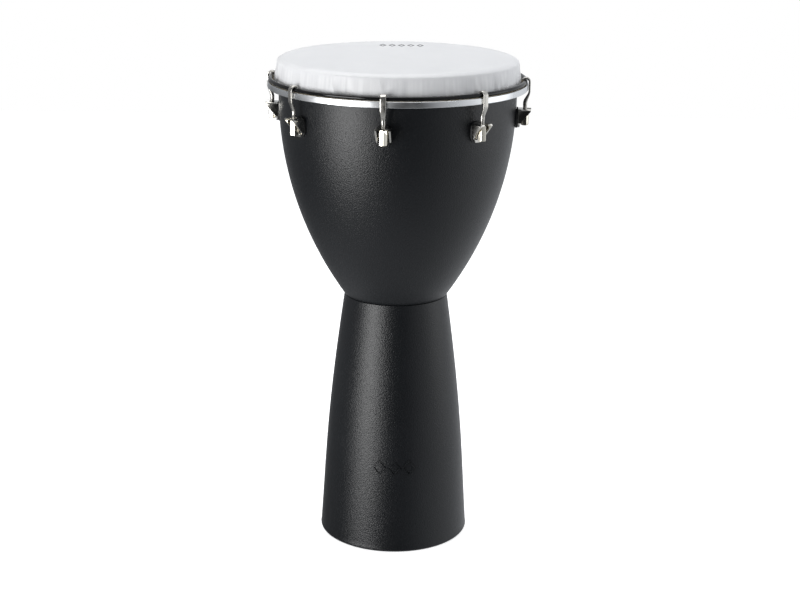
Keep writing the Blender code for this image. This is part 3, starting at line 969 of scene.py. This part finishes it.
def backing_nut_mesh():
    """The hexagon nut on the screw's end, inside the bowl."""
    far = BACKING_NUT_FROM_AXIS - ROD_OFFSET
    thick = 0.0038
    half_across_flats = 0.0040
    hexagon = filleted(circle(half_across_flats / math.cos(math.pi / 6), 6), 0.0003, 2)
    outline = [(x, far - thick, SCREW_Z + z) for x, z in hexagon]
    nut = swept("backing", outline, (0, thick, 0))
    cut(nut, radial_rod("bore", SCREW_HOLE_RADIUS, far - 2 * thick, far + thick, SCREW_Z))
    soft_edges(nut, 0.00025, segments=2, angle=25)
    mesh = nut.data
    bpy.data.objects.remove(nut)
    return mesh


def make_tuning_points(materials):
    # Piece, mesh, slot, material, CAD node, and the moving body's name or None for a fixed piece.
    kinds = (
        ("hook", hook_mesh(), "hook_metal", "satin_nickel", "tuning_hook", "hook"),
        ("nut", nut_mesh(), "nut_metal", "bright_nickel", "tuning_nut", "nut"),
        ("bracket", bracket_mesh(), "bracket_metal", "sheet_nickel", "lug_bracket", None),
        ("pad", pad_mesh(), "pad_rubber", "rubber", "lug_pad", None),
        ("screw", screw_mesh(), "screw_metal", "zinc_plate", "lug_screw", None),
        ("inner_nut", backing_nut_mesh(), "backing_metal", "zinc_plate", "backing_nut", None),
    )
    for kind, mesh, slot, material_name, cad_name, moving in kinds:
        for index in range(len(ROD_AXES)):
            number = index + 1
            piece = bpy.data.objects.new(f"{kind}_{number}", mesh)
            bpy.context.scene.collection.objects.link(piece)
            place = point_frame(index)
            if kind == "nut":
                place = place @ Matrix.Rotation(NUT_TURNS[index], 4, "Z")
            piece.matrix_world = place
            body = f"{moving}_{number}" if moving else "drum"
            finish(piece, body, slot, materials[material_name], f"{cad_name}_{number}")


# ---- Generic marks ----


def lozenge(width, height, steps=6):
    """Points along the four sides of a lozenge."""
    tips = [(width / 2, 0), (0, height / 2), (-width / 2, 0), (0, -height / 2)]
    outline = []
    for i, (x, y) in enumerate(tips):
        next_x, next_y = tips[(i + 1) % 4]
        for j in range(steps):
            t = j / steps
            outline.append((x + (next_x - x) * t, y + (next_y - y) * t))
    return outline


def lozenge_row(name, wrap, count, size, pitch, line, low, high):
    """Lozenge outlines in a row. wrap carries (across, up, out) to a point of the surface.

    line is the share of the lozenge that its rim takes up. low and high are the rim's foot and top.
    """
    vertices, faces = [], []
    outline = lozenge(*size)
    around = len(outline)
    rim = ((1.0, low), (1.0 - line / 4, high), (1.0 - 3 * line / 4, high), (1.0 - line, low))
    for centre in (pitch * (i - (count - 1) / 2) for i in range(count)):
        start = len(vertices)
        for share, out in rim:
            vertices += [wrap(centre + x * share, y * share, out) for x, y in outline]
        for k in range(4):
            m = (k + 1) % 4
            for i in range(around):
                j = (i + 1) % around
                corners = ((k, i), (k, j), (m, j), (m, i))
                faces.append([start + row * around + column for row, column in corners])
    mark = object_from(name, vertices, faces, 30)
    outward(mark.data)
    return mark


def make_marks(coat, ink):
    """Raised lozenges on the foot and printed ones on the film."""
    foot_mark_z = 0.1110
    head_mark_x, head_mark_y = 0.004, 0.099

    def on_foot(across, up, out):
        radius = foot_radius(foot_mark_z + up) + out
        angle = across / foot_radius(foot_mark_z)
        return (radius * math.sin(angle), -radius * math.cos(angle), foot_mark_z + up)

    def on_face(across, up, out):
        return (head_mark_x + across, head_mark_y + up, FACE_Z + out)

    raised = lozenge_row(
        "foot_mark", on_foot, 3, size=(0.0175, 0.0210), pitch=0.0185, line=0.36, low=-0.0004, high=0.0013
    )
    finish(raised, "drum", "shell", coat)
    printed = lozenge_row(
        "head_mark", on_face, 5, size=(0.0108, 0.0240), pitch=0.0118, line=0.62, low=-0.0002, high=0.0001
    )
    finish(printed, "drum", "head_film", ink)


# ---- Stage ----


def make_floor():
    # The front edge lies just outside the picture's lower edge.
    side, front, back = 1.4, -0.34, 3.0
    corners = [(-side, front, 0), (side, front, 0), (side, back, 0), (-side, back, 0)]
    floor = object_from("floor", corners, [(0, 1, 2, 3)])
    floor.data.materials.append(floor_material())
    floor.visible_glossy = False


def area_light(name, location, size, watts):
    data = bpy.data.lights.new(name, "AREA")
    data.shape = "RECTANGLE"
    data.size, data.size_y = size
    data.energy = watts
    lamp = bpy.data.objects.new(name, data)
    bpy.context.scene.collection.objects.link(lamp)
    drum_middle = Vector((0, 0, 0.36))
    lamp.location = location
    lamp.rotation_euler = (drum_middle - Vector(location)).to_track_quat("-Z", "Y").to_euler()
    return lamp


def make_lights():
    area_light("left_softbox", (-1.61, -1.50, 0.22), size=(1.35, 1.6), watts=50)
    area_light("right_softbox", (2.3, 0.1, 0.6), size=(1.4, 1.6), watts=6)
    area_light("top_softbox", (-0.3, 0.5, 2.4), size=(2.0, 2.0), watts=38)
    fill = area_light("front_fill", (2.1, -0.9, 0.6), size=(1.5, 1.5), watts=8)
    fill.visible_glossy = False


def make_world():
    """A pale studio: a wall on either side, a faint glow below, dark in front where the camera stands.

    The camera itself sees plain white.
    """
    world = bpy.data.worlds.new("studio")
    bpy.context.scene.world = world
    world.use_nodes = True
    tree = world.node_tree
    surroundings = tree.nodes["Background"]
    way = node(tree, "TexCoord").outputs["Generated"]

    def towards(direction, low, high, from_low, from_high):
        alike = node(tree, "VectorMath", {0: way, 1: direction}, operation="DOT_PRODUCT")
        return remap(tree, alike.outputs["Value"], low, high, from_low, from_high)

    def joined(first, second, operation):
        return node(tree, "Math", {0: first, 1: second}, operation=operation).outputs[0]

    dark_front = towards((0.08, -0.965, -0.25), 1.0, 0.15, 0.88, 0.96)
    right_wall = towards((0.88, 0.47, 0.10), 0.09, 0.70, -0.20, 0.62)
    left_wall = towards((-0.82, 0.40, 0.41), 0.0, 0.28, 0.55, 0.85)
    upwards = node(tree, "SeparateXYZ", {"Vector": way}).outputs["Z"]
    ground = remap(tree, upwards, 0.52, 0.0, -0.8, -0.35)
    walls = joined(right_wall, left_wall, "MAXIMUM")
    around = joined(walls, ground, "MAXIMUM")
    cool_white = (0.94, 0.965, 1.0, 1.0)
    feed(tree, surroundings.inputs["Color"], cool_white)
    feed(tree, surroundings.inputs["Strength"], joined(around, dark_front, "MULTIPLY"))
    seen = node(tree, "Background")
    seen.inputs["Color"].default_value = (1.0, 1.0, 1.0, 1.0)
    mix = node(tree, "MixShader", {0: node(tree, "LightPath").outputs["Is Camera Ray"]})
    feed(tree, mix.inputs[1], surroundings.outputs[0])
    feed(tree, mix.inputs[2], seen.outputs[0])
    feed(tree, tree.nodes["World Output"].inputs["Surface"], mix.outputs[0])


def make_camera():
    data = bpy.data.cameras.new("camera")
    data.lens = 73.0
    data.sensor_width = 36.0
    camera = bpy.data.objects.new("camera", data)
    bpy.context.scene.collection.objects.link(camera)
    position = (0.0, -1.9583, 0.8886)
    heading, downwards, lean = -0.0028, 0.2882, 0.0115
    turn = Matrix.Rotation(heading, 4, "Z")
    tilt = Matrix.Rotation(math.pi / 2 - downwards, 4, "X")
    roll = Matrix.Rotation(lean, 4, "Z")
    camera.matrix_world = Matrix.Translation(position) @ turn @ tilt @ roll
    bpy.context.scene.camera = camera


def build():
    coat = coat_material()
    # Plated metals: darker and lighter colour, then the smoothest and the roughest.
    plating = {
        "satin_nickel": ((0.48, 0.47, 0.44), (0.60, 0.58, 0.54), 0.22, 0.34),
        "bright_nickel": ((0.82, 0.78, 0.68), (0.89, 0.85, 0.75), 0.16, 0.26),
        "sheet_nickel": ((0.54, 0.53, 0.50), (0.64, 0.62, 0.58), 0.10, 0.18),
        "zinc_plate": ((0.50, 0.50, 0.50), (0.62, 0.62, 0.63), 0.28, 0.42),
    }
    materials = {name: nickel_material(name, *looks) for name, looks in plating.items()}
    materials["rubber"] = rubber_material()
    make_camera()
    make_bowl(coat)
    make_foot(coat)
    make_film(film_material())
    make_hoop(aluminium_material())
    make_resin(resin_material())
    make_ring(enamel_material())
    make_tuning_points(materials)
    make_marks(coat, ink_material())
    make_floor()
    make_lights()
    make_world()
    bpy.context.scene.view_settings.view_transform = "Standard"


build()
